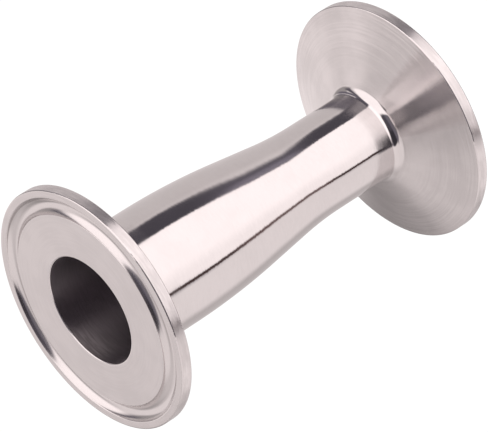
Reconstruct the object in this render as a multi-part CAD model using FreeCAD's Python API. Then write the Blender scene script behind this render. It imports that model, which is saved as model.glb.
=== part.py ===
import FreeCAD, Part
import math
import os

# A sanitary clamp reducer in stainless steel. A tube is formed down to a smaller diameter, and a turned
# clamp ferrule is butt-welded to each end. The welds are ground flush and polished, inside and out, so the
# pieces meet at the same diameters. It stands on its small sealing face: the axis is Z, the origin is the
# centre of that face, and the large end is up. All sizes are millimetres.

# Overall length, from one sealing face to the other
overall_length = 80.5

# The tube: polished outside diameters and one wall thickness
large_tube_diameter = 25.3
small_tube_diameter = 18.7
tube_wall = 1.35

# The taper between the two diameters: two smooth bends with a short cone between them
taper_start = 22.35
cone_angle = 7.4
small_end_bend = 75.0
large_end_bend = 160.0

# The clamp flange, the same at both ends: both take the same clamp and gasket
flange_diameter = 50.5
rim_width = 2.4
clamp_angle = 20.0
front_edge_radius = 0.3
back_edge_radius = 0.25

# The gasket groove, half round, with its outer edge eased more than its inner edge
groove_diameter = 43.5
groove_radius = 1.6
groove_depth = 1.3
groove_inner_ease = 0.08
groove_outer_ease = 0.45

# The turned weld neck behind each flange, as wide as the tube that is welded to it
ferrule_length = 11.3
neck_fillet = 2.05
mouth_radius = 0.2


def point(radius, height):
    return FreeCAD.Vector(radius, 0, height)


def unit(vector):
    return vector * (1 / vector.Length)


class Outline:
    """A closed outline beside the axis, drawn edge by edge and then turned into a solid."""

    def __init__(self, radius, height):
        self.first = point(radius, height)
        self.here = self.first
        self.edges = []

    def line(self, radius, height):
        end = point(radius, height)
        self.edges.append(Part.LineSegment(self.here, end).toShape())
        self.here = end

    def arc(self, centre, end):
        """The short arc about a centre, from the last point to the end."""
        bisector = unit(self.here - centre) + unit(end - centre)
        middle = centre + unit(bisector) * (end - centre).Length
        self.edges.append(Part.Arc(self.here, middle, end).toShape())
        self.here = end

    def rounded_corner(self, corner, after, radius):
        """A line up to a corner, and the corner rounded towards the next point."""
        back = unit(self.here - corner)
        ahead = unit(after - corner)
        half_angle = back.getAngle(ahead) / 2
        setback = radius / math.tan(half_angle)
        start = corner + back * setback
        centre = corner + unit(back + ahead) * (radius / math.sin(half_angle))
        self.line(start.x, start.z)
        self.arc(centre, corner + ahead * setback)

    def solid(self):
        self.line(self.first.x, self.first.z)
        face = Part.Face(Part.Wire(self.edges))
        turned = face.revolve(point(0, 0), FreeCAD.Vector(0, 0, 1), 360)
        return turned if turned.Volume > 0 else turned.reversed()


def eased_groove_edge(side, ease):
    """Where the easing arc at one edge of the gasket groove starts, is centred and ends."""
    groove_centre = point(groove_diameter / 2, groove_depth - groove_radius)
    reach = groove_radius + ease
    across = math.sqrt(reach ** 2 - (ease - groove_centre.z) ** 2)
    centre = point(groove_centre.x + side * across, ease)
    on_face = point(centre.x, 0)
    on_groove = groove_centre + unit(centre - groove_centre) * groove_radius
    return on_face, centre, on_groove, groove_centre


def ferrule(tube_diameter):
    """A clamp ferrule for one tube, with its sealing face down at height 0 and its weld neck up."""
    neck_radius = tube_diameter / 2
    bore_radius = neck_radius - tube_wall
    flange_radius = flange_diameter / 2
    slope = math.tan(math.radians(clamp_angle))
    outline = Outline(bore_radius, ferrule_length)

    # The mouth of the bore, and the inner part of the sealing face
    outline.rounded_corner(point(bore_radius, 0), point(flange_radius, 0), mouth_radius)

    # The gasket groove
    face, centre, groove, groove_centre = eased_groove_edge(-1, groove_inner_ease)
    outline.line(face.x, 0)
    outline.arc(centre, groove)
    face, centre, groove, groove_centre = eased_groove_edge(1, groove_outer_ease)
    outline.arc(groove_centre, groove)
    outline.arc(centre, face)

    # The outer lip, the rim and the sloping back that the clamp wedges against
    neck_root = point(neck_radius, rim_width + (flange_radius - neck_radius) * slope)
    outline.rounded_corner(point(flange_radius, 0), point(flange_radius, rim_width), front_edge_radius)
    outline.rounded_corner(point(flange_radius, rim_width), neck_root, back_edge_radius)
    outline.rounded_corner(neck_root, point(neck_radius, ferrule_length), neck_fillet)

    # The weld neck, up to the weld
    outline.line(neck_radius, ferrule_length)
    return outline.solid()


def taper(outline, radius, inset):
    """The two bends and the cone of the taper. The bore follows the outside at a constant inset."""
    angle = math.radians(cone_angle)
    step = radius - outline.here.x
    first_bend = small_end_bend + inset
    second_bend = large_end_bend - inset
    cone = (step - (first_bend + second_bend) * (1 - math.cos(angle))) / math.sin(angle)
    first_centre = point(outline.here.x + first_bend, outline.here.z)
    cone_start = first_centre + point(-math.cos(angle), math.sin(angle)) * first_bend
    cone_end = cone_start + point(math.sin(angle), math.cos(angle)) * cone
    second_centre = cone_end - point(math.cos(angle), -math.sin(angle)) * second_bend
    outline.arc(first_centre, cone_start)
    outline.line(cone_end.x, cone_end.z)
    outline.arc(second_centre, point(radius, second_centre.z))


def reducer_body():
    """The formed tube, from one weld to the other."""
    large_radius = large_tube_diameter / 2
    small_radius = small_tube_diameter / 2
    top = overall_length - ferrule_length

    # The outside, up from the weld at the small end
    outline = Outline(small_radius, ferrule_length)
    outline.line(small_radius, taper_start)
    taper(outline, large_radius, 0)
    outline.line(large_radius, top)

    # The passage
    passage = Outline(0, ferrule_length)
    passage.line(small_radius - tube_wall, ferrule_length)
    passage.line(small_radius - tube_wall, taper_start)
    taper(passage, large_radius - tube_wall, tube_wall)
    passage.line(large_radius - tube_wall, top)
    passage.line(0, top)
    outline.line(0, top)
    outline.line(0, ferrule_length)
    return outline.solid().cut(passage.solid())


def build():
    large = ferrule(large_tube_diameter)
    large.rotate(point(0, 0), FreeCAD.Vector(1, 0, 0), 180)
    large.translate(FreeCAD.Vector(0, 0, overall_length))
    return {
        "small_ferrule": ferrule(small_tube_diameter),
        "reducer_body": reducer_body(),
        "large_ferrule": large,
    }


os.makedirs("parts", exist_ok=True)
for name, shape in build().items():
    box = shape.optimalBoundingBox(False)
    print(name, "solids", len(shape.Solids), "valid", shape.isValid(), "volume mm3", round(shape.Volume, 1),
          "from", round(box.ZMin, 3), "to", round(box.ZMax, 3), "across", round(box.XLength, 3))
    shape.exportStep(os.path.join("parts", name + ".step"))
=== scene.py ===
# %% [markdown]
# A sanitary clamp reducer. It joins a large tube to a small one in a plant that has to be kept clean: a tube
# narrows from one size to the next, and a turned clamp ferrule is welded to each end. A hinged clamp pulls
# each flange against the next fitting, with a gasket in the groove. Everything about it is round, so every
# visible surface can be made in one way: draw half of the section and turn it about the axis. What makes it
# look real is what polished steel shows, which is the room around it. So this lesson spends as much care on
# the studio as on the part. The solids have been worked out already and come packed in a frame. They are
# loaded and measured first, because all that follows is laid over them.

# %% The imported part
import math

import bpy
import numpy as np
from mathutils import Matrix, Vector


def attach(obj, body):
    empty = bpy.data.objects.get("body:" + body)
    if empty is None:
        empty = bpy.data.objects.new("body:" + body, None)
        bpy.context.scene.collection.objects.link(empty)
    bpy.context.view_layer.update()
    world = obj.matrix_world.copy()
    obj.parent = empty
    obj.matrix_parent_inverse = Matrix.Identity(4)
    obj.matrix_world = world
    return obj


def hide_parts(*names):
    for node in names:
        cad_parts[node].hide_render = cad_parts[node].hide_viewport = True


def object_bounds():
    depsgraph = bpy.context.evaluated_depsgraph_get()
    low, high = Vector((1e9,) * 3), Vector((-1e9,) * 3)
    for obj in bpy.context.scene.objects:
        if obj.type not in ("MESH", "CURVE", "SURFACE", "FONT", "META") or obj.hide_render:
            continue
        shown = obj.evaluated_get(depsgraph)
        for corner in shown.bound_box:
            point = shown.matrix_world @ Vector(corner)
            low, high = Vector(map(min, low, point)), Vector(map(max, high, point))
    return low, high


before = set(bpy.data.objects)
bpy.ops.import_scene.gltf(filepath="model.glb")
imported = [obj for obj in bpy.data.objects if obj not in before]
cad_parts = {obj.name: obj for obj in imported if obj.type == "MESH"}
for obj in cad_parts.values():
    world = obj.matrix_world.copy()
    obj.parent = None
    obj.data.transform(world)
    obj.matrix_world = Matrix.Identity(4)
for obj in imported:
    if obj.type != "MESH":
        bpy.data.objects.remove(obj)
cad_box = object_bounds()
mm = 0.001
overall_length = (cad_box[1].z - cad_box[0].z) / mm
packed_size = [round(v / mm, 2) for v in cad_box[1] - cad_box[0]]
print("the packed part has", len(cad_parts), "solids and measures", packed_size, "mm")

# %% [markdown]
# The part stands on its small end, with its axis upright, and the camera looked down on it from well off,
# with a long lens. A long lens keeps the two flanges nearly the same size, where a short one would swell the
# near flange. The picture is tilted, so the camera is also rolled about its own line of sight. The part could
# be laid over instead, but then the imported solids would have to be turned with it. Three turns place the
# camera: how far it looks down, which way it looks, and the roll. The Standard view shows each colour as it
# is, so white paper stays white.

# %% The camera
camera_distance = 736.2 * mm
camera_elevation = math.radians(30.823)
camera_heading = math.radians(-0.052)
camera_roll = math.radians(-122.601)
aim = Vector((-0.57 * mm, 0, 41.28 * mm))
focal_length = 284.19

camera_data = bpy.data.cameras.new("camera")
camera_data.sensor_width = 36
camera_data.lens = focal_length
camera_data.clip_start = 0.05
camera_data.clip_end = 20
camera = bpy.data.objects.new("camera", camera_data)
bpy.context.scene.collection.objects.link(camera)
bpy.context.scene.camera = camera
turn = (Matrix.Rotation(-camera_heading, 4, "Z")
        @ Matrix.Rotation(math.pi / 2 - camera_elevation, 4, "X")
        @ Matrix.Rotation(camera_roll, 4, "Z"))
line_of_sight = -turn.col[2].to_3d()
camera.matrix_world = Matrix.Translation(aim - line_of_sight * camera_distance) @ turn
bpy.context.view_layer.update()
bpy.context.scene.view_settings.view_transform = "Standard"
place = camera.matrix_world.translation
print("camera at", [round(v, 3) for v in place], "looking along", [round(v, 3) for v in line_of_sight])

# %% [markdown]
# Shader nodes can be wired by hand in the editor, or written. Wiring shows more, but a written graph can be
# read from top to bottom and made again with other numbers. Written graphs get long, so this small class
# adds a node, fills or links its inputs, and returns one output. A number goes straight onto the socket, and
# the output of another node is linked.

# %% A short way to write node graphs
class Graph:
    def __init__(self, tree):
        self.tree = tree

    def add(self, kind, inputs=None, output=0, **settings):
        node = self.tree.nodes.new(kind)
        for name, value in settings.items():
            setattr(node, name, value)
        for key, value in (inputs or {}).items():
            if isinstance(value, bpy.types.NodeSocket):
                self.tree.links.new(value, node.inputs[key])
            else:
                node.inputs[key].default_value = value
        return node.outputs[output] if node.outputs else node

    def split(self, vector):
        """The three parts of a vector."""
        node = self.tree.nodes.new("ShaderNodeSeparateXYZ")
        self.tree.links.new(vector, node.inputs[0])
        return node.outputs

    def math(self, operation, *values):
        return self.add("ShaderNodeMath", dict(enumerate(values)), operation=operation)

    def ramp(self, value, low, high, to_low=0.0, to_high=1.0):
        """A smooth step from one level to another as the value rises from low to high."""
        inputs = {0: value, 1: low, 2: high, 3: to_low, 4: to_high}
        return self.add("ShaderNodeMapRange", inputs, interpolation_type="SMOOTHSTEP", clamp=True)

    def mix(self, share, first, second):
        """One colour where the share is 0, and the other where it is 1."""
        return self.add("ShaderNodeMix", {0: share, 6: first, 7: second}, output=2, data_type="RGBA")


def grey(level):
    return (level, level, level, 1)


print("node helper ready")

# %% [markdown]
# Such a part is shot on a sweep: white paper that runs flat under the object and curves up behind it, so
# there is no line where a wall meets a floor. A flat plane would do for one view. The dish made here is
# curved up all round, so that it also serves a camera that walks round the part. It is rings of points about
# the middle, each ring joined to the next by four-sided faces.

# %% The shape of the floor
floor_radius = 1.6
sweep_radius = 1.2
flat_rings = (0.2, 0.6, 1.0)
sweep_steps = 16
floor_sides = 96


def dish(name, flat_radius, bend_radius):
    rows = [(flat_radius * share, 0.0) for share in flat_rings]
    for step in range(1, sweep_steps + 1):
        angle = math.pi / 2 * step / sweep_steps
        rows.append((flat_radius + bend_radius * math.sin(angle), bend_radius * (1 - math.cos(angle))))
    points = [(0.0, 0.0, 0.0)]
    for radius, height in rows:
        for side in range(floor_sides):
            angle = 2 * math.pi * side / floor_sides
            points.append((radius * math.cos(angle), radius * math.sin(angle), height))
    faces = []
    for side in range(floor_sides):
        after = (side + 1) % floor_sides
        faces.append((0, 1 + side, 1 + after))
        for row in range(len(rows) - 1):
            inner = 1 + row * floor_sides
            outer = inner + floor_sides
            faces.append((inner + side, outer + side, outer + after, inner + after))
    mesh = bpy.data.meshes.new(name)
    mesh.from_pydata(points, [], faces)
    mesh.shade_smooth()
    return bpy.data.objects.new(name, mesh)


floor = dish("floor", floor_radius, sweep_radius)
bpy.context.scene.collection.objects.link(floor)
print("floor", round(2 * (floor_radius + sweep_radius), 2), "m across")

# %% [markdown]
# The paper is lit until it is clean white, with no grey patch and no shadow. Lamps could do that here too,
# but they would also shine on the steel. A glow a little above white does it without them. Seen from below,
# the floor lets the view through, so the underside of the part can be looked at. The steel doesn't see the
# floor at all: polished metal would show its edge as a hard line. What the steel sees is the studio of the
# next steps.

# %% The floor's white
floor_gap = 0.2 * mm
white_level = 1.05

floor_finish = bpy.data.materials.new("white_floor")
floor_finish.use_nodes = True
floor_finish.node_tree.nodes.clear()
g = Graph(floor_finish.node_tree)
glow = g.add("ShaderNodeEmission", {"Color": grey(1.0), "Strength": white_level})
from_below = g.add("ShaderNodeNewGeometry", output="Backfacing")
see_through = g.add("ShaderNodeBsdfTransparent")
either = g.add("ShaderNodeMixShader", {0: from_below, 1: glow, 2: see_through})
g.add("ShaderNodeOutputMaterial", {"Surface": either})
floor.data.materials.append(floor_finish)
floor.location.z = -floor_gap
floor.visible_glossy = False
floor.visible_shadow = False
print("the floor lies", round(floor_gap / mm, 2), "mm under the part")

# %% [markdown]
# What polished steel looks like is what stands round it. Real cards and softboxes could be modelled and
# lit, but they would have to be far off and large, and each edge would take several tries. All of them are
# far away, so they can be painted on the sky of the world by direction alone. A direction is given as on a
# compass: a heading, and a height above the horizon, both in degrees. Heading 0 is the way the camera looks,
# and headings grow clockwise as seen from above, so 180 is behind the camera.

# %% Directions in the studio
world = bpy.data.worlds.new("studio")
bpy.context.scene.world = world
world.use_nodes = True
world.node_tree.nodes.clear()
g = Graph(world.node_tree)
right, ahead, up = g.split(g.add("ShaderNodeTexCoord", output="Generated"))
degrees = 180 / math.pi
heading = g.math("MULTIPLY", g.math("ARCTAN2", right, ahead), degrees)
height = g.math("MULTIPLY", g.math("ARCSINE", up), degrees)
print("heading and height are in degrees")

# %% [markdown]
# A card is a patch of that sky with straight edges. Its corners are listed anticlockwise, each as a heading
# and a height, and the softness of each edge is listed in the same order. An edge begins to fade in that far
# outside its line and is full that far inside it, because a card that is near or out of focus has a blurred
# edge and a far one has a crisp edge. The mask is the product of the edges, so it is 1 only where a direction
# is inside all of them. Headings are measured from the middle of the card and wrapped, so a card may cross
# heading 0.

# %% One card
def card_mask(corners, softness):
    """1 inside the patch and 0 outside it. All the numbers are in degrees."""
    middle = sum(corner[0] for corner in corners) / len(corners)
    off_middle = g.math("WRAP", g.math("SUBTRACT", heading, middle), -180.0, 180.0)
    mask = None
    for (x, y), (next_x, next_y), soft in zip(corners, corners[1:] + corners[:1], softness):
        length = math.hypot(next_x - x, next_y - y)
        sideways, upwards = -(next_y - y) / length, (next_x - x) / length
        start = sideways * (x - middle) + upwards * y
        inside = g.math("MULTIPLY_ADD", off_middle, sideways, -start)
        inside = g.math("MULTIPLY_ADD", height, upwards, inside)
        edge = g.ramp(inside, -soft, soft)
        mask = edge if mask is None else g.math("MULTIPLY", mask, edge)
    return mask


def upright(start, end, low, high):
    """The corners of a card with upright sides. Its edges are the bottom, the end, the top and the start."""
    return ((start, low), (end, low), (end, high), (start, high))


print("cards can be cut")

# %% [markdown]
# Now the cards, worked out from what each part of the steel shows in the photo. The sealing end faces the
# camera and shows it the high softbox; the long tube shows the near softbox, the dark gap beside it and the
# grey paper behind; the neck and the sloping back catch the dark room behind the camera. Steel is a little
# warm and so is its light, so each card has a tint as well as a brightness. Then come its corners and the
# softness of its edges. A card that is listed later hangs in front of the earlier ones, so a large dull card
# comes first and what breaks it up comes after. A photograph of a studio would be quicker to load, but its
# lights wouldn't be where this steel shows them.

# %% The cards
warm_white = (1.04, 0.956, 0.953)
cool_black = (1.04, 0.93, 1.13)
soft_black = (1.04, 0.95, 1.04)
brown = (1.5, 0.88, 0.85)
cards = [
    # Paper all round, low and high, and the shade straight below
    (1.05, warm_white, upright(210, 290, -91, 10), (12, 25, 12, 25)),
    (0.84, warm_white, upright(340, 390, -91, -22), (8, 24, 8, 10)),
    (0.62, warm_white, upright(303, 352, -91, -22), (8, 12, 8, 10)),
    (0.75, warm_white, upright(0, 98, -91, -22), (8, 14, 6, 14)),
    (0.80, warm_white, upright(300, 346, 20, 62), (10, 8, 12, 10)),
    (0.80, warm_white, upright(236, 414, 66, 96), (10, 14, 8, 8)),
    (0.56, warm_white, upright(312, 344, 54, 82), (8, 8, 8, 8)),
    (0.58, warm_white, upright(16, 46, 50, 82), (8, 8, 8, 8)),
    (0.68, warm_white, upright(298, 357, -22, 23), (6, 6, 12, 14)),
    (0.36, warm_white, upright(336, 357, -22, 26), (7, 6, 12, 14)),
    (0.20, warm_white, upright(0.1, 359.9, -95, -62), (5, 5, 5, 5)),
    # Dark strips ahead and to the right, where the paper ends
    (0.44, warm_white, ((20, -14), (60, -14), (60, 6), (50, 30), (35, 30), (26, 8)), (5, 5, 5, 5, 6, 5)),
    (0.14, cool_black, ((48, 15), (131, -27), (131, -17), (48, 33)), (4, 4, 4, 8)),
    (0.12, cool_black, ((88, -25), (131, -25), (131, -18), (88, 2)), (2, 4, 4, 4)),
    # The near softbox, the high softbox, and where the two overlap
    (1.54, warm_white, upright(127, 231, -62, 5), (8, 2, 8, 2.5)),
    (1.36, warm_white, upright(206, 231, -62, 5), (8, 2, 8, 12)),
    (1.50, warm_white, ((57, 36), (128, -14), (200, -14), (200, 76), (57, 78)), (4, 8, 5, 9, 11)),
    (1.70, warm_white, upright(131, 226, -20, 4), (4, 4, 4, 4)),
    # The dark gap beside the near softbox
    (0.14, cool_black, ((114, -53), (131, -53), (126.8, -20), (96, -20), (96, -31)), (4, 2.2, 4, 4, 5)),
    (0.14, cool_black, ((120, -58), (136.5, -58), (130, -38), (114, -38)), (5, 2.2, 5, 5)),
    (0.26, cool_black, ((119.5, -62), (136, -62), (129.5, -40.5), (119.5, -40.5)), (4, 2.2, 2.5, 5)),
    (0.09, cool_black, ((102, -38), (128.6, -38), (126.6, -20), (96, -20), (96, -31)), (4, 1.8, 4, 4, 5)),
    (0.15, cool_black, upright(96, 128, -16, -2), (4, 2.5, 3, 5)),
    (0.20, cool_black, upright(34, 96, -16, 0), (4, 5, 3, 8)),
    # The dark room behind the camera
    (0.31, soft_black, ((182, 14), (237, -31), (237, 20), (182, 20)), (8, 3, 5, 5)),
    (0.05, cool_black, ((165, 8), (222, -10), (237, -8), (237, 96), (168, 96), (161, 40)),
     (4, 4, 3, 5, 4, 5)),
    (0.10, cool_black, upright(161, 204, 12, 44), (6, 6, 6, 6)),
    (0.19, cool_black, upright(161, 246, 42, 96), (7, 7, 7, 5)),
    (0.21, soft_black, upright(166, 246, 60, 96), (8, 8, 7, 5)),
    # The frame at the end of the near softbox, with its foot out of focus
    (0.11, brown, upright(228.9, 235.1, -62, -36), (1.3, 1.9, 1.3, 1.9)),
    (0.05, brown, upright(229.2, 234.8, -37.5, -20), (1.3, 1.3, 1.3, 1.3)),
]
print(len(cards), "cards")

# %% [markdown]
# The cards are mixed one over the other, from plain paper at the back to the last card in front. The camera
# itself sees plain white past the floor, and only the steel sees the cards. Light Path tells the two apart.

# %% Hanging the cards
paper = 1.01


def tinted(level, tint):
    return tuple(level * part for part in tint) + (1,)


colour = tinted(paper, warm_white)
for level, tint, corners, softness in cards:
    colour = g.mix(card_mask(corners, softness), colour, tinted(level, tint))
seen_directly = g.add("ShaderNodeLightPath", output="Is Camera Ray")
shown = g.mix(seen_directly, colour, grey(white_level))
background = g.add("ShaderNodeBackground", {"Color": shown, "Strength": 1.0})
g.add("ShaderNodeOutputWorld", {"Surface": background})
print(len(g.tree.nodes), "nodes in the studio")

# %% [markdown]
# The section is written as it would be dimensioned on a turner's drawing: straight lines joined by small
# rounds. A curve with a bevel, or a Screw modifier on an outline, could turn it too, but both average the
# facing of their flat faces. Polished metal shows the smallest error in the way that a surface faces. So
# each step of the outline keeps its exact facing at both ends, and the mesh is given that. Where a section
# is to be smoother, its steps are held to a longest length.

# %% Drawing half a section
round_step = math.radians(9)


class Section:
    """Steps along a closed outline, in millimetres: the start, the facing at both ends, and the finish."""

    def __init__(self, radius, height, finish):
        self.here = np.array([radius, height], float)
        self.finish = finish
        self.steps = []

    def step(self, end, facing, end_facing):
        self.steps.append((self.here, facing, end_facing, self.finish))
        self.here = end

    def line(self, radius, height, longest=math.inf):
        end = np.array([radius, height], float)
        run = end - self.here
        length = np.hypot(*run)
        facing = np.array([run[1], -run[0]]) / length
        count = max(1, math.ceil(length / longest))
        for point in [self.here + run * (i + 1) / count for i in range(count)]:
            self.step(point, facing, facing)

    def arc(self, centre, end, longest=math.inf):
        """The short way round a centre. The side that the surface faces follows from the way it turns."""
        centre, end = np.array(centre, float), np.array(end, float)
        first, last = self.here - centre, end - centre
        radius = np.hypot(*first)
        sweep = math.atan2(first[0] * last[1] - first[1] * last[0], first @ last)
        side = 1 if sweep > 0 else -1
        count = max(2, math.ceil(abs(sweep) / round_step), math.ceil(abs(sweep) * radius / longest))
        start = math.atan2(first[1], first[0])
        facing = side * first / radius
        for i in range(count):
            angle = start + sweep * (i + 1) / count
            spoke = np.array([math.cos(angle), math.sin(angle)])
            self.step(centre + radius * spoke, facing, side * spoke)
            facing = side * spoke


print("a quarter round takes", math.ceil(math.pi / 2 / round_step), "steps")

# %% [markdown]
# A drawing gives most edges as a sharp corner and the radius that it is rounded to. The helper takes the
# same. It stops the straight line short of the corner, by the radius over the tangent of half the angle
# between the two lines, and goes on round an arc that touches both lines, so the facing never jumps. On the
# real part a corner is often rounded in the step that finishes what comes after it. So the round has its own
# finish, and what follows keeps it until another is named. A Bevel modifier could round a plain outline
# later, but each round here has its own radius and finish, and those are easier to say along the way.

# %% Rounding a corner
def rounded_corner(section, corner, after, radius, finish):
    """A line up to a corner, and the corner rounded towards the next point."""
    corner, after = np.array(corner, float), np.array(after, float)
    back = (section.here - corner) / np.hypot(*(section.here - corner))
    on = (after - corner) / np.hypot(*(after - corner))
    half = math.acos(np.clip(back @ on, -1, 1)) / 2
    setback = radius / math.tan(half)
    middle = (back + on) / np.hypot(*(back + on))
    section.line(*(corner + back * setback))
    section.finish = finish
    section.arc(corner + middle * radius / math.sin(half), corner + on * setback)


print("corners can be rounded")

# %% [markdown]
# Turning the section gives the mesh. Each point of the outline is copied round the axis as a ring, and each
# step of the outline becomes a band of four-sided faces between two rings. An outline is closed, so the last
# ring joins the first and the mesh is watertight. Turned end for end, the faces would be inside out, so
# their corners are then listed backwards.

# %% Rings and faces
sides = 320
side_angles = 2 * math.pi * np.arange(sides) / sides
spokes = np.stack([np.cos(side_angles), np.sin(side_angles)], 1)


def rings(points):
    verts = np.zeros((len(points), sides, 3))
    verts[:, :, :2] = points[:, None, :1] * spokes
    verts[:, :, 2] = points[:, None, 1]
    return verts.reshape(-1, 3)


def band_corners(count, flip):
    """For the four corners of every face: the ring, the side, and the end of the step that it is at."""
    ring, side = np.meshgrid(np.arange(count), np.arange(sides), indexing="ij")
    next_ring, next_side = (ring + 1) % count, (side + 1) % sides
    corners = [(ring, side, 0), (ring, next_side, 0), (next_ring, next_side, 1), (next_ring, side, 1)]
    return corners[::-1] if flip else corners


print(sides, "sides to a ring")

# %% [markdown]
# Each face's corners take the exact facing of its own step, swung round with the ring. So an edge between
# two finishes stays crisp, a round stays smooth, and the tube mirrors the studio without ripples. These are
# custom normals: the mesh keeps them beside its points, and shading uses them in place of its own average.
# Each band also gets the finish of its step, from those that the piece uses.

# %% Turning a section into a mesh
def turned(piece_name, section, finishes, flip=False, offset=0.0):
    """A closed turned piece. flip turns it end for end, and offset then lifts it, in millimetres."""
    starts, start_facings, end_facings, names = zip(*section.steps)
    points = np.array(starts)
    facing = np.stack([start_facings, end_facings], 1)
    if flip:
        points = points * [1, -1] + [0, offset]
        facing = facing * [1, -1]
    corners = band_corners(len(points), flip)
    faces = np.stack([ring * sides + side for ring, side, end in corners], -1).reshape(-1, 4)
    normals = np.zeros((len(points), sides, 4, 3))
    for i, (ring, side, end) in enumerate(corners):
        normals[:, :, i, :2] = facing[:, None, end, :1] * spokes[side]
        normals[:, :, i, 2] = facing[:, None, end, 1]
    mesh = bpy.data.meshes.new(piece_name)
    mesh.from_pydata((rings(points) * mm).tolist(), [], faces.tolist())
    used = [finish for finish in finishes if finish.name in names]
    for finish in used:
        mesh.materials.append(finish)
    order = {finish.name: i for i, finish in enumerate(used)}
    index = np.repeat([order[name] for name in names], sides)
    mesh.polygons.foreach_set("material_index", index.astype(np.int32))
    mesh.shade_smooth()
    mesh.normals_split_custom_set(normals.reshape(-1, 3).tolist())
    mesh.update()
    piece = bpy.data.objects.new(piece_name, mesh)
    bpy.context.scene.collection.objects.link(piece)
    return piece


print("turning ready")

# %% [markdown]
# Now the finishes. All of them are the same bare stainless steel, fully metallic, light grey with a trace of
# warmth. What tells one face from the next is how it was polished, so each finish below is this one
# material with its own roughness and its own marks. In the shader, roughness 0 is a perfect mirror.

# %% Bare stainless steel
steel_tint = (0.64, 0.614, 0.611, 1)


def bare_steel(name, roughness):
    material = bpy.data.materials.new(name)
    material.use_nodes = True
    graph = Graph(material.node_tree)
    shader = material.node_tree.nodes["Principled BSDF"]
    shader.inputs["Base Color"].default_value = steel_tint
    shader.inputs["Metallic"].default_value = 1.0
    shader.inputs["Roughness"].default_value = roughness
    return material, graph, shader


print("steel is", steel_tint[:3])

# %% [markdown]
# A lathe tool and a polishing wheel both leave fine marks that run round the axis. Most are too fine to make
# out, and what is seen of them is that they smear reflections across themselves. Modelling them is out of
# the question, and the shader's anisotropy does it at no cost. The tangent tells it which way the marks run:
# a radial tangent about Z goes round the axis. The quarter turn puts the smear across the marks.

# %% Marks that smear reflections
round_and_across = 0.25


def smear_across_marks(graph, shader, anisotropy):
    shader.inputs["Anisotropic"].default_value = anisotropy
    shader.inputs["Anisotropic Rotation"].default_value = round_and_across
    tangent = graph.add("ShaderNodeTangent", direction_type="RADIAL", axis="Z")
    graph.tree.links.new(tangent, shader.inputs["Tangent"])


print("smear ready")

# %% [markdown]
# Other marks are wide enough to be made out. A picture of scratches could show them, but it would need the
# surface unwrapped and would have a seam. They come instead from a noise that is read in turning
# coordinates: it changes quickly across the marks and slowly round the axis, so its clouds are pulled out
# into streaks. On a flat or a sloping face the marks are crossed along the radius, and on a tube or a rim
# along the height. The angle goes in as a cosine and a sine, which meet again after a full turn.

# %% Streaks round the axis
def radius_and_angle(graph):
    """The distance from the axis, in millimetres, and the angle round it."""
    x, y = graph.split(graph.add("ShaderNodeTexCoord", output="Object"))[:2]
    squares = graph.math("ADD", graph.math("MULTIPLY", x, x), graph.math("MULTIPLY", y, y))
    return graph.math("DIVIDE", graph.math("SQRT", squares), mm), graph.math("ARCTAN2", y, x)


def height_and_angle(graph):
    """The height along the axis, in millimetres, and the angle round it."""
    x, y, z = graph.split(graph.add("ShaderNodeTexCoord", output="Object"))
    return graph.math("DIVIDE", z, mm), graph.math("ARCTAN2", y, x)


def streaks(graph, across, angle, pitch, breaks):
    """Noise from 0 to 1 in long streaks, one every pitch in millimetres. More breaks make them shorter."""
    u = graph.math("DIVIDE", across, pitch)
    x = graph.math("MULTIPLY", graph.math("COSINE", angle), breaks)
    y = graph.math("MULTIPLY", graph.math("SINE", angle), breaks)
    where = graph.add("ShaderNodeCombineXYZ", {0: u, 1: x, 2: y})
    noise = {"Vector": where, "Scale": 1.0, "Detail": 3.0, "Roughness": 0.6}
    return graph.add("ShaderNodeTexNoise", noise)


print("streaks ready")

# %% [markdown]
# Each streak does three things to the metal. It is a long low ridge, which Bump makes. It leans a trace to
# one side along the marks, which is why the edge of a dark reflection looks ragged on polished tube. And it
# is a trace darker or lighter than the next. Broad clouds about 6 mm across go with the last, because a wheel
# never polishes quite evenly.

# %% What the streaks do
clouds_per_metre = 160.0


def cut_marks(graph, shader, streak, depth, lean):
    """Ridges of the given depth in millimetres, each of which leans sideways by up to the given slope."""
    ridge = graph.add("ShaderNodeBump", {"Height": streak, "Strength": 1.0, "Distance": depth * mm})
    tangent = graph.add("ShaderNodeTangent", direction_type="RADIAL", axis="Z")
    slope = graph.math("MULTIPLY", graph.math("SUBTRACT", streak, 0.5), lean)
    sideways = graph.add("ShaderNodeVectorMath", {0: tangent, "Scale": slope}, operation="SCALE")
    leaning = graph.add("ShaderNodeVectorMath", {0: ridge, 1: sideways}, operation="ADD")
    normal = graph.add("ShaderNodeVectorMath", {0: leaning}, operation="NORMALIZE")
    graph.tree.links.new(normal, shader.inputs["Normal"])


def tint_marks(graph, shader, streak, strength):
    tint = np.array(shader.inputs["Base Color"].default_value)
    place = graph.add("ShaderNodeTexCoord", output="Object")
    cloud = graph.add("ShaderNodeTexNoise", {"Vector": place, "Scale": clouds_per_metre, "Detail": 2.0})
    both = graph.math("MULTIPLY", graph.math("ADD", streak, cloud), 0.5)
    dark, light = tint * (1 - strength), tint * (1 + strength)
    colour = graph.mix(graph.ramp(both, low=0.38, high=0.62), (*dark[:3], 1), (*light[:3], 1))
    graph.tree.links.new(colour, shader.inputs["Base Color"])


print("the clouds are about", round(1000 / clouds_per_metre), "mm across")

# %% [markdown]
# The tube and the necks are polished to a mirror on a wheel, after the welds are ground flush. The wheel's
# marks run round, so they smear a reflection along the tube: an edge that lies across the axis comes out
# soft, and an edge along the axis stays crisp. The marks that can be made out are fine, shallow and short.
# The metal at the two ground welds is a little duller, so the roughness rises over about 2 mm there.

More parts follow.
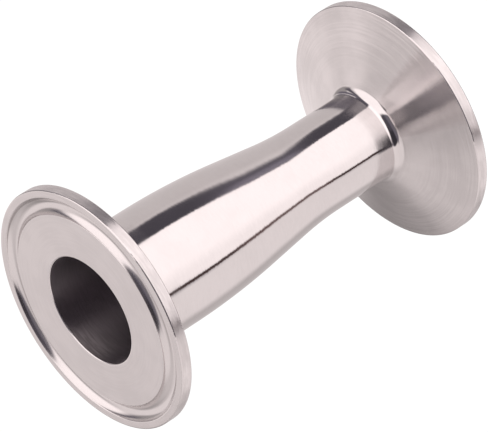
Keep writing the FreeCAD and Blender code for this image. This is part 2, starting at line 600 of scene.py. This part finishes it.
# %% Mirror polish
mirror_polish, g, shader = bare_steel("mirror_polish", roughness=0.07)
smear_across_marks(g, shader, anisotropy=1.0)
lift, angle = height_and_angle(g)
streak = streaks(g, lift, angle, pitch=0.2, breaks=6.0)
cut_marks(g, shader, streak, depth=0.001, lean=0.045)
tint_marks(g, shader, streak, strength=0.02)
ferrule_length = 11.3
middle_height = overall_length / 2
from_middle = g.math("ABSOLUTE", g.math("SUBTRACT", lift, middle_height))
from_weld = g.math("ABSOLUTE", g.math("SUBTRACT", from_middle, middle_height - ferrule_length))
weld_roughness = g.ramp(from_weld, low=0.6, high=2.2, to_low=0.11, to_high=0.07)
g.tree.links.new(weld_roughness, shader.inputs["Roughness"])
print(mirror_polish.name, "duller", ferrule_length, "mm from each end, at the welds")

# %% [markdown]
# The sloping back of each flange is turned and only lightly polished. It spreads a reflection into a fan
# along the slope, and like all turned metal it mirrors more sharply at a glancing look. Layer Weight gives
# how far the surface faces away from the eye, and the roughness falls with it. The wheel reaches the root of
# the slope better than the edge, so the rings of the tool are kept most near the rim.

# %% Turned back of the flange
turned_back, g, shader = bare_steel("turned_back", roughness=0.17)
glance = g.add("ShaderNodeLayerWeight", {"Blend": 0.5}, output="Facing")
glancing_roughness = g.ramp(glance, low=0.64, high=0.78, to_low=0.17, to_high=0.06)
g.tree.links.new(glancing_roughness, shader.inputs["Roughness"])
smear_across_marks(g, shader, anisotropy=1.0)
radius, angle = radius_and_angle(g)
streak = streaks(g, radius, angle, pitch=0.35, breaks=1.0)
kept = g.ramp(radius, low=13.0, high=22.0, to_low=0.3, to_high=1.0)
streak = g.math("MULTIPLY_ADD", g.math("SUBTRACT", streak, 0.5), kept, 0.5)
cut_marks(g, shader, streak, depth=0.02, lean=0.06)
tint_marks(g, shader, streak, strength=0.06)
print(turned_back.name)

# %% [markdown]
# The sealing face is satin: faced on the lathe, then rubbed. It shows no picture of the room, only a soft
# tone, with faint rings about the bore. So the roughness is high and the smear is mild.

# %% Satin sealing face
satin_face, g, shader = bare_steel("satin_face", roughness=0.34)
smear_across_marks(g, shader, anisotropy=0.4)
radius, angle = radius_and_angle(g)
streak = streaks(g, radius, angle, pitch=0.5, breaks=2.0)
cut_marks(g, shader, streak, depth=0.01, lean=0.03)
tint_marks(g, shader, streak, strength=0.03)
print(satin_face.name)

# %% [markdown]
# The rim is brushed by hand, not polished. Its marks are short and uneven and it mirrors in broad smears,
# so the smear is strong, and the streaks are broken up more and tinted more than on the back.

# %% Brushed rim
brushed_rim, g, shader = bare_steel("brushed_rim", roughness=0.28)
smear_across_marks(g, shader, anisotropy=0.9)
lift, angle = height_and_angle(g)
streak = streaks(g, lift, angle, pitch=0.4, breaks=8.0)
cut_marks(g, shader, streak, depth=0.006, lean=0.12)
tint_marks(g, shader, streak, strength=0.10)
print(brushed_rim.name)

# %% [markdown]
# The gasket groove, the round at the mouth of the bore and the small rounds at the flange's edges are cut
# last with a fresh tool, and are left bright. On a real ferrule the outer edges catch tiny nicks. Cutting
# nicks into the mesh would cost many faces for a few dots of light. The edges get quick short marks
# instead, which break up the thin lines of light that run along them.

# %% Bright groove and edges
bright_groove, g, shader = bare_steel("bright_groove", roughness=0.18)
radius, angle = radius_and_angle(g)
streak = streaks(g, radius, angle, pitch=0.4, breaks=2.0)
cut_marks(g, shader, streak, depth=0.003, lean=0.03)

bright_edge, g, shader = bare_steel("bright_edge", roughness=0.10)
radius, angle = radius_and_angle(g)
streak = streaks(g, radius, angle, pitch=0.5, breaks=40.0)
cut_marks(g, shader, streak, depth=0.02, lean=0.2)
print(bright_groove.name, bright_edge.name)

# %% [markdown]
# The passage is left as the tube came, duller, and it is dark because it mostly mirrors itself. Its colour is
# also set darker and greyer than the rest of the steel: painted shade in the passage.
# Just inside the mouth, on one side, a painted reflection of bright light lightens it in streaks. That patch
# is a mask made of three ramps, one by height and two by the angle round the axis, and it brings in a lighter
# pair of colours between which the streaks choose.

# %% Dull passage, with painted shade and a painted reflection
dull_bore, g, shader = bare_steel("dull_bore", roughness=0.35)
smear_across_marks(g, shader, anisotropy=0.8)
lift, angle = height_and_angle(g)
streak = streaks(g, lift, angle, pitch=0.4, breaks=3.0)
cut_marks(g, shader, streak, depth=0.01, lean=0.1)
bearing = g.math("MULTIPLY", angle, degrees)
# Where the painted reflection lies: near the mouth, and between two bearings round the axis.
near_mouth = g.ramp(lift, low=74.0, high=78.5)
after_start = g.ramp(bearing, low=88.0, high=112.0)
before_end = g.ramp(bearing, low=130.0, high=150.0, to_low=1.0, to_high=0.0)
patch = g.math("MULTIPLY", g.math("MULTIPLY", after_start, before_end), near_mouth)
line = g.ramp(streak, low=0.35, high=0.65)
# The passage's own colour, darker and greyer than the steel: painted shade in the bore.
bore_colour_with_painted_shade = g.mix(line, (0.40, 0.365, 0.39, 1), (0.44, 0.40, 0.43, 1))
# Lighter streaky colours just inside the mouth: a painted reflection.
painted_reflection_colour = g.mix(line, (0.40, 0.365, 0.38, 1), (0.60, 0.555, 0.575, 1))
g.tree.links.new(g.mix(patch, bore_colour_with_painted_shade, painted_reflection_colour), shader.inputs["Base Color"])
finishes = [mirror_polish, turned_back, satin_face, brushed_rim, bright_groove, bright_edge, dull_bore]
print(len(finishes), "finishes")

# %% [markdown]
# The gasket groove runs round the sealing face: half round, so that the gasket's ridge sits in it, with its
# two edges eased by small rounds. The easing round has to touch the flat face and the groove's own arc
# without a corner. Its centre lies one easing radius deep in the metal, and one easing radius plus one groove
# radius away from the groove's centre, and that settles the rest. Here the face is at height 0 and the metal
# is above it, because the ferrule is drawn with its sealing face down. A ring could be cut out of the face
# with a Boolean, but that leaves slivers along the cut, and bright metal shows them.

# %% The gasket groove
groove_middle = 21.9
groove_round = 1.75
groove_depth = 1.35
groove_inner_ease = 0.08
groove_outer_ease = 0.25


def groove_edge(side, ease):
    """Where the ease leaves the face, its centre, where it meets the groove, and the groove's centre."""
    centre_height = groove_depth - groove_round
    reach = groove_round + ease
    across = math.sqrt(reach ** 2 - (ease - centre_height) ** 2)
    centre = np.array([groove_middle + side * across, ease])
    groove_centre = np.array([groove_middle, centre_height])
    meeting = groove_centre + (centre - groove_centre) / reach * groove_round
    return np.array([centre[0], 0.0]), centre, meeting, groove_centre


groove_width = groove_edge(1, groove_outer_ease)[0][0] - groove_edge(-1, groove_inner_ease)[0][0]
print("the groove is", round(groove_width, 2), "mm wide at the face")

# %% [markdown]
# The ferrule is one turned piece: the bore, its mouth, the sealing face with the groove, the lip outside it,
# the rim, the back that slopes at 20 degrees for the clamp to wedge on, and the neck that is welded to the
# tube. The outline goes round all of them in that order and names each one's finish as it comes to it. The
# mirror polish begins where the fillet begins, because a wheel reaches into the fillet and no further.

# %% The outline of a ferrule
flange_radius = 25.25
rim_width = 2.4
clamp_angle = math.radians(20)
tube_wall = 1.35
mouth_round = 0.3
front_round = 0.3
back_round = 0.25
neck_fillet = 2.05


def ferrule_section(neck_radius):
    bore_radius = neck_radius - tube_wall
    root = (neck_radius, rim_width + (flange_radius - neck_radius) * math.tan(clamp_angle))
    section = Section(bore_radius, ferrule_length, "dull_bore")
    rounded_corner(section, (bore_radius, 0), (flange_radius, 0), mouth_round, "bright_groove")
    section.finish = "satin_face"
    face, centre, meeting, _ = groove_edge(-1, groove_inner_ease)
    section.line(*face)
    section.finish = "bright_groove"
    section.arc(centre, meeting)
    face, centre, meeting, groove_centre = groove_edge(1, groove_outer_ease)
    section.arc(groove_centre, meeting)
    section.arc(centre, face)
    section.finish = "satin_face"
    rounded_corner(section, (flange_radius, 0), (flange_radius, rim_width), front_round, "bright_edge")
    section.finish = "brushed_rim"
    rounded_corner(section, (flange_radius, rim_width), root, back_round, "bright_edge")
    section.finish = "turned_back"
    rounded_corner(section, root, (neck_radius, ferrule_length), neck_fillet, "mirror_polish")
    section.line(neck_radius, ferrule_length, longest=1)
    section.finish = "dull_bore"
    section.line(bore_radius, ferrule_length)
    return section


print("each flange is", 2 * flange_radius, "mm across")

# %% [markdown]
# Both ends take the same clamp and the same gasket, so both ferrules have the same flange. Only the neck and
# the bore differ, and they follow the tube that is welded on. The small ferrule stays as it is drawn, with
# its face on the floor, and the large one is turned end for end and lifted to the top. A scaled copy of one
# would be quicker, but its flange would be scaled with it and would fit no clamp. Each takes the place of its
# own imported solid.

# %% The two ferrules
small_radius = 9.35
large_radius = 12.65

small_ferrule = turned("small_ferrule_finish", ferrule_section(small_radius), finishes)
large_section = ferrule_section(large_radius)
large_ferrule = turned("large_ferrule_finish", large_section, finishes, flip=True, offset=overall_length)
for piece, node in ((small_ferrule, "small_ferrule"), (large_ferrule, "large_ferrule")):
    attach(piece, "root")
    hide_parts(node)
    print(piece.name, len(piece.data.polygons), "faces")

# %% [markdown]
# The tube between them is one length, pressed down over a former. It doesn't narrow in a plain cone with
# corners at its ends: the metal bends in, runs straight for a way, and bends back, so a reflection flows
# through it without a break. A free curve could be pulled into the same line by eye, but arcs have radii that
# can be measured and changed. The section is two large arcs with a line between them, each touching the next.
# The wall keeps its thickness, so inside, the first bend is larger by the wall and the second is smaller.

# %% The line of the taper
taper_start = 22.35
cone_angle = math.radians(7.4)
small_bend = 75.0
large_bend = 160.0


def taper_points(radius, inset):
    """The centre of the first bend, both ends of the cone, and the centre of the second bend."""
    step = large_radius - small_radius
    first, second = small_bend + inset, large_bend - inset
    run = (step - (first + second) * (1 - math.cos(cone_angle))) / math.sin(cone_angle)
    along = np.array([math.sin(cone_angle), math.cos(cone_angle)])
    out = np.array([math.cos(cone_angle), -math.sin(cone_angle)])
    first_centre = np.array([radius + first, taper_start])
    start = first_centre - out * first
    end = start + along * run
    return first_centre, start, end, end - out * second


print("the taper runs from", taper_start, "to", round(taper_points(small_radius, 0)[3][1], 2), "mm")

# %% [markdown]
# The outside goes up from weld to weld, across the wall, and back down the passage. The rings are close
# together in the bends, half a millimetre apart on the outside, because that is where a mirror shows flats.
# On the straight parts and inside, longer steps look the same and save faces.

# %% The tapered tube
body = Section(small_radius, ferrule_length, "mirror_polish")
body.line(small_radius, taper_start, longest=2)
first_centre, start, end, second_centre = taper_points(small_radius, 0)
body.arc(first_centre, start, longest=0.5)
body.line(*end, longest=2)
body.arc(second_centre, (large_radius, second_centre[1]), longest=0.5)
top = overall_length - ferrule_length
body.line(large_radius, top, longest=2)

body.finish = "dull_bore"
small_bore, large_bore = small_radius - tube_wall, large_radius - tube_wall
body.line(large_bore, top)
first_centre, start, end, second_centre = taper_points(small_bore, tube_wall)
body.line(large_bore, second_centre[1], longest=4)
body.arc(second_centre, end, longest=1)
body.line(*start, longest=4)
body.arc(first_centre, (small_bore, taper_start), longest=1)
body.line(small_bore, ferrule_length, longest=4)
body.line(small_radius, ferrule_length)

tube = turned("reducer_body_finish", body, finishes)
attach(tube, "root")
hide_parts("reducer_body")
print(tube.name, len(tube.data.polygons), "faces")
